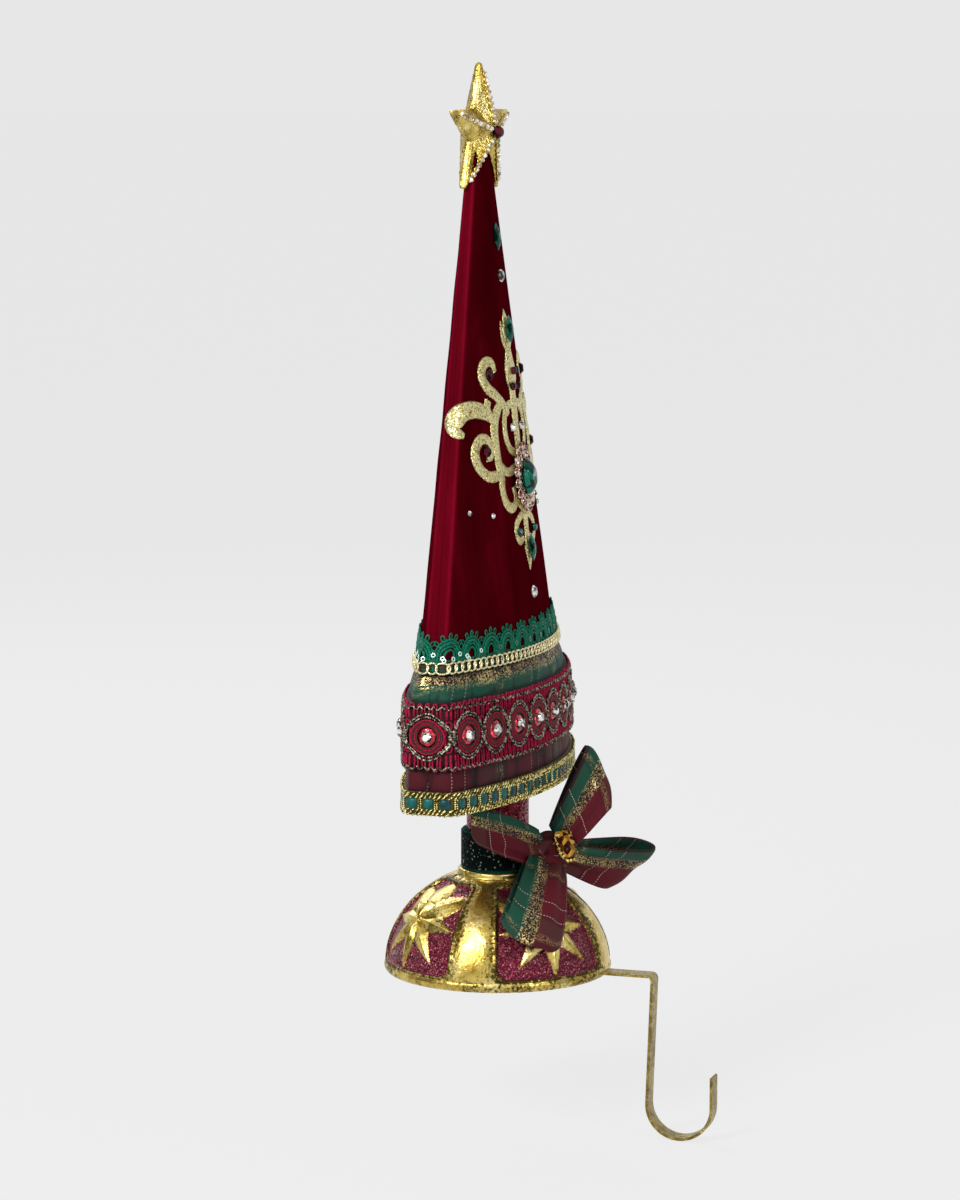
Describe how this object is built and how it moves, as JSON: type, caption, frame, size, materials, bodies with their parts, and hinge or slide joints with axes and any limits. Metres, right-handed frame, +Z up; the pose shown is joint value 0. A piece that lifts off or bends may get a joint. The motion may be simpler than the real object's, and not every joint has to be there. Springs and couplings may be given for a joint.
{
  "type": "mantel stocking holder",
  "caption": "Stocking holder: a tall velvet tree with a star on a weighted dome base, and a strip hook that reaches over the mantel's edge to carry a stocking.",
  "frame": {"origin": "middle of the base's underside, on the mantel's top face", "axes": "+Z up the tree, -Y to the front where the hook reaches over the mantel's edge, +X along the mantel, to the right for someone facing the front"},
  "size_m": [0.1818, 0.1584, 0.4941],
  "materials": {
    "gold_leaf": "worn gold leaf over brown",
    "iron": "rough",
    "felt": "matt",
    "zinc_steel": "plated",
    "hook_gold": "antique gold paint",
    "red_glitter": "glitter",
    "green_glitter": "glitter",
    "board": "bare",
    "foam": "rigid foam",
    "velvet": "pile with a sheen",
    "plaid": "woven with metal thread",
    "gold_braid": "metallic braid",
    "pale_gold_braid": "metallic braid",
    "teal_stone": "polished",
    "crimson_trim": "looped braid",
    "olive_cord": "cord",
    "red_foil": "foil",
    "clear_stone": "faceted",
    "green_lace": "lace",
    "sequin": "pearly",
    "gold_glitter": "glitter",
    "rose_gold": "bright",
    "emerald": "faceted",
    "garnet": "faceted",
    "amber": "faceted",
    "ribbon": "plaid taffeta"
  },
  "bodies": {
    "root": {"band_stones": "clear_stone", "base_dome": "gold_leaf", "base_weight": "iron", "bow_jewel": "amber", "bow_knot": "ribbon", "bow_loop_lower_left": "ribbon", "bow_loop_lower_right": "ribbon", "bow_loop_upper_left": "ribbon", "bow_loop_upper_right": "ribbon", "bow_setting": "hook_gold", "centre_rod": "zinc_steel", "chain_braid": "pale_gold_braid", "clear_gems": "clear_stone", "emerald_oval": "emerald", "felt_pad": "felt", "filigree_cluster": "rose_gold", "garnet_gems": "garnet", "green_gems": "emerald", "hem_braid": "gold_braid", "hem_cabochons": "teal_stone", "hook_screws": "zinc_steel", "lace_sequins": "sequin", "lace_trim": "green_lace", "marquise_lower": "emerald", "marquise_top": "emerald", "marquise_upper": "emerald", "medallion_band": "crimson_trim", "medallion_cords": "olive_cord", "plaid_skirt": "plaid", "rod_nuts": "zinc_steel", "rod_washers": "zinc_steel", "scroll_applique": "gold_glitter", "star_chain": "clear_stone", "star_gem": "garnet", "star_pin": "zinc_steel", "star_topper": "gold_leaf", "stocking_hook": "hook_gold", "stone_foils": "red_foil", "tree_board": "board", "tree_core": "foam", "trunk_collar": "green_glitter", "trunk_post": "red_glitter", "velvet_cover": "velvet", "velvet_crystals": "clear_stone"}
  },
  "joints": []
}
